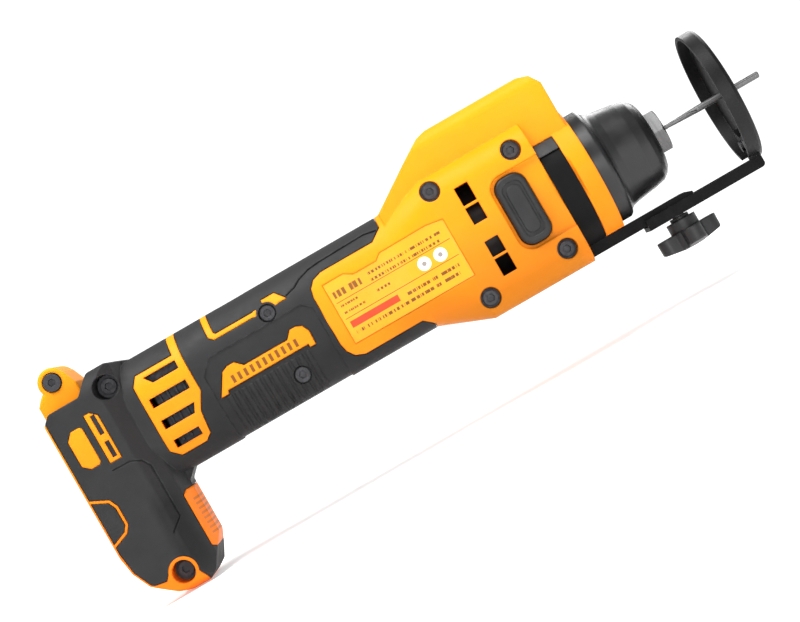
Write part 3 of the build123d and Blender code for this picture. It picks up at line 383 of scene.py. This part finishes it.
def print_film(name):
    """The rating label: satin film with rules, bars and plain symbols, no lettering."""
    s = Surface(name, 0.45, specular=0.15)
    edges = s.rounded(0.3 * MM)
    film = s.mix(s.drift(40.0, 4.0), *FILM)
    for z in RULE_HEIGHTS:
        film = s.mix(s.patch(RULE_SPAN, (z - 0.15, z + 0.15)), film, INK)
    for x0, x1, z, tall in LABEL_ROWS:
        bars = s.ramp(s.noise(1100.0, 1.0, (1, 0, 0.02)), 0.46, 0.50)
        row = s.times(s.patch((x0, x1), (z - tall / 2, z + tall / 2)), bars)
        film = s.mix(s.times(row, 0.9), film, INK)
    coarse = s.ramp(s.noise(420.0, 0.0, (1, 0, 0.02)), 0.44, 0.48)
    block = s.times(s.patch(*LABEL_BLOCK), coarse)
    film = s.mix(s.times(block, 0.85), film, INK)
    film = s.mix(s.patch(*LABEL_STRIP), film, RED_STRIP)
    for x in LABEL_DISCS:
        film = s.mix(s.spot(x, DISC_HEIGHT, 3.1), film, DISC_WHITE)
        film = s.mix(s.spot(x, DISC_HEIGHT, 1.1), film, DISC_GREY)
    s.colour(s.mix(s.times(edges, 0.4), film, FILM_WORN))
    s.rough(s.drift(180.0, 4.0, 0.36, 0.50))
    s.bump(s.noise(1800.0, 2.0), 0.05, 0.08 * MM)
    return s.material


def clear(name):
    """The lamp's lens, faintly prismatic."""
    s = Surface(name, 0.12)
    s.rounded(0.3 * MM)
    s.bsdf.inputs["Transmission Weight"].default_value = 0.85
    s.colour(s.mix(s.drift(200.0), (0.82, 0.86, 0.88), (0.92, 0.95, 0.96)))
    s.bump(s.noise(900.0), 0.25, 0.2 * MM)
    return s.material


def wound(name, base):
    """Copper windings: many turns of fine wire along the core."""
    s = Surface(name, 0.35, metallic=0.9)
    turns = s.bands(700.0, "DIAGONAL", distortion=1.5)
    s.colour(s.mix(turns, scaled(base, 0.5), base))
    s.bump(turns, 0.5, 0.2 * MM)
    return s.material


def stacked(name, base):
    """Laminated steel, with the edges of the sheets showing along the axis."""
    s = Surface(name, 0.45, metallic=0.9)
    sheets = s.bands(650.0, "X")
    s.colour(s.mix(sheets, scaled(base, 0.6), base))
    s.bump(sheets, 0.4, 0.1 * MM)
    return s.material


materials = {
    "yellow_housing": plastic(
        "yellow_housing", YELLOW, YELLOW_WORN_AND_SHEEN, 0.48, grain=0.06, edge=0.30, radius=1.3 * MM,
        gloss=0.12, marks=housing_shade_and_marks,
    ),
    "soft_grip": plastic(
        "soft_grip", GRIP, GRIP_WORN, 0.60, grain=0.30, edge=0.6, radius=0.9 * MM,
        dust=GRIP_DUST, gloss=0.20, marks=grip_painted_shade,
    ),
    "label_film": print_film("label_film"),
    "black_screw": metal("black_screw", (0.050, 0.050, 0.054), 0.48),
    "nose_black": plastic(
        "nose_black", BLACK, BLACK_WORN, 0.36, grain=0.08, edge=0.5, radius=1.0 * MM, gloss=0.4
    ),
    "steel": metal("steel", STEEL, 0.44, streak=(1, 0.1, 0.1)),
    "bearing_steel": metal("bearing_steel", (0.62, 0.62, 0.63), 0.18),
    "boot_rubber": plastic("boot_rubber", BLACK, BLACK_WORN, 0.8),
    "lamination": stacked("lamination", (0.22, 0.22, 0.23)),
    "copper": wound("copper", (0.70, 0.28, 0.10)),
    "magnet": metal("magnet", (0.20, 0.20, 0.21), 0.35),
    "fan_plastic": plastic("fan_plastic", BLACK, BLACK_WORN, 0.45),
    "button_rubber": plastic(
        "button_rubber", (0.0125, 0.0125, 0.013), GRIP_WORN, 0.50, grain=0.3, edge=0.5,
        radius=0.8 * MM,
    ),
    "black_plastic": plastic("black_plastic", BLACK, BLACK_WORN, 0.42),
    "tray_aluminium": metal("tray_aluminium", (0.035, 0.035, 0.038), 0.45),
    "board_green": plastic("board_green", (0.02, 0.16, 0.07), (0.30, 0.32, 0.20), 0.35),
    "terminal_copper": metal("terminal_copper", (0.75, 0.45, 0.22), 0.28),
    "lead_insulation": plastic("lead_insulation", (0.30, 0.015, 0.012), (0.4, 0.1, 0.1), 0.4),
    "lens_clear": clear("lens_clear"),
    "guide_black": painted("guide_black", (0.0040, 0.0040, 0.0044), (0.08, 0.08, 0.085), 0.42),
    "knob_plastic": plastic(
        "knob_plastic", (0.014, 0.014, 0.015), GRIP_WORN, 0.40, grain=0.15, edge=0.5,
        radius=1.0 * MM, gloss=0.30,
    ),
}

# the guide's arms are duller than its disc, which shares their slot
arm_finish = painted("arm_black", (0.0028, 0.0028, 0.0030), (0.05, 0.05, 0.053), 0.55, 0.10)
finishes = {"guide_arm": arm_finish, "guide_base": arm_finish}

for part in frame["record"]["subparts"]:
    node = nodes[part["node"]]
    node.data.materials.clear()
    finish = finishes.get(part["node"], materials[part["material_slot"]])
    node.data.materials.append(finish)

# ---------------------------------------------------------------------------
# Springs
# ---------------------------------------------------------------------------


def live_spring(node):
    """A coil spring: a copy of the part's mesh, attached to the tool body, in place of the
    hidden part.
    """
    coil = bpy.data.objects.new(node + "_coil", nodes[node].data.copy())
    bpy.context.scene.collection.objects.link(coil)
    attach(coil, "tool_body")
    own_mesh(coil)
    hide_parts(node)


live_spring("lock_spring")
live_spring("power_spring")

# ---------------------------------------------------------------------------
# Stage, lights and camera
# ---------------------------------------------------------------------------


def softbox(name, place, size, power):
    """A white rectangular light, turned towards the middle of the tool."""
    data = bpy.data.lights.new(name, "AREA")
    data.shape = "RECTANGLE"
    data.size, data.size_y = size
    data.energy = power
    lamp = bpy.data.objects.new(name, data)
    lamp.location = place
    lamp.rotation_euler = (LIGHT_CENTRE - lamp.location).to_track_quat("-Z", "Y").to_euler()
    bpy.context.scene.collection.objects.link(lamp)


def studio():
    """White surroundings, brighter in view than on the tool, and the softboxes."""
    world = bpy.data.worlds.new("studio")
    bpy.context.scene.world = world
    world.use_nodes = True
    tree = world.node_tree
    back = tree.nodes["Background"]
    back.inputs["Color"].default_value = (*WHITE, 1.0)
    path = tree.nodes.new("ShaderNodeLightPath")
    level = tree.nodes.new("ShaderNodeMapRange")
    level.inputs["To Min"].default_value = WORLD_ON_TOOL
    level.inputs["To Max"].default_value = WORLD_IN_VIEW
    tree.links.new(path.outputs["Is Camera Ray"], level.inputs["Value"])
    tree.links.new(level.outputs["Result"], back.inputs["Strength"])
    for lamp in SOFTBOXES:
        softbox(*lamp)


def floor():
    """A pale, faintly glowing sheet just under the tool."""
    level = cad_box[0][2] - FLOOR_GAP
    row = FLOOR_STEPS + 1
    places = [FLOOR_HALF * (2 * i / FLOOR_STEPS - 1) for i in range(row)]
    points = [(x, y, level) for x in places for y in places]
    corners = [i * row + j for i in range(FLOOR_STEPS) for j in range(FLOOR_STEPS)]
    faces = [(a, a + row, a + row + 1, a + 1) for a in corners]
    mesh = bpy.data.meshes.new("studio_floor")
    mesh.from_pydata(points, [], faces)
    ground = bpy.data.objects.new("studio_floor", mesh)
    bpy.context.scene.collection.objects.link(ground)
    s = Surface("floor_paper", 0.9, specular=0.1)
    s.colour(s.mix(s.drift(3.0), *PAPER))
    s.bump(s.noise(400.0), 0.02, 0.1 * MM)
    s.bsdf.inputs["Emission Color"].default_value = (*WHITE, 1.0)
    s.bsdf.inputs["Emission Strength"].default_value = FLOOR_GLOW
    mesh.materials.append(s.material)


def camera():
    """Square on to the tool's right side, rolled so that the spindle climbs."""
    right = Vector((math.cos(CLIMB), 0.0, -math.sin(CLIMB)))
    up = Vector((math.sin(CLIMB), 0.0, math.cos(CLIMB)))
    back = Vector((0.0, -1.0, 0.0))
    data = bpy.data.cameras.new("view_camera")
    data.sensor_width = SENSOR_WIDTH
    data.lens = SENSOR_WIDTH * CAMERA_DISTANCE / WIDTH_IN_VIEW
    data.clip_end = 20.0
    eye = bpy.data.objects.new("view_camera", data)
    bpy.context.scene.collection.objects.link(eye)
    turn = Matrix((right, up, back)).transposed().to_4x4()
    eye.matrix_world = Matrix.Translation(AIM + back * CAMERA_DISTANCE) @ turn
    bpy.context.scene.camera = eye


studio()
floor()
camera()
bpy.context.scene.view_settings.view_transform = "Standard"
